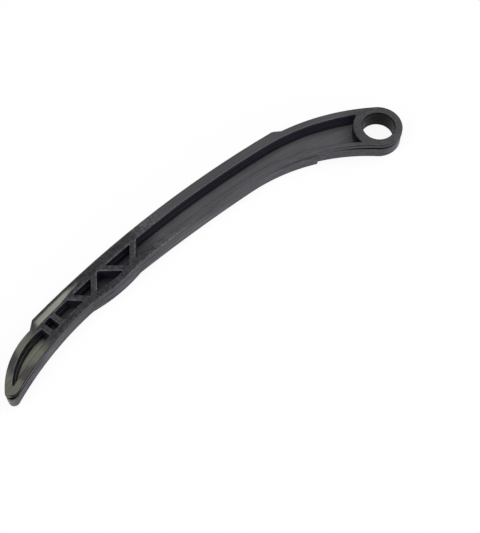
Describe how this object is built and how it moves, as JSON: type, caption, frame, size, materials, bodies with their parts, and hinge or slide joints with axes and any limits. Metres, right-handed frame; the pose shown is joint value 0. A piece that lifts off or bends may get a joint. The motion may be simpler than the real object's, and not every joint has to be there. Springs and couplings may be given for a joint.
{
  "type": "timing chain guide",
  "caption": "Curved slipper arm moulded in black plastic, with a pivot eye, a convex land that a timing chain runs over, a ribbed channel behind it and a pad for the tensioner's pusher.",
  "frame": {"origin": "centre of the pivot bore, on the plain side that the arm lies on", "axes": "+Z along the pivot bore towards the ribbed side, the arm reaches along -X, the chain side faces +Y"},
  "size_m": [0.148, 0.0277, 0.006],
  "materials": {
    "black_nylon": "satin, as moulded"
  },
  "bodies": {
    "root": {"guide_arm": "black_nylon"}
  },
  "joints": []
}
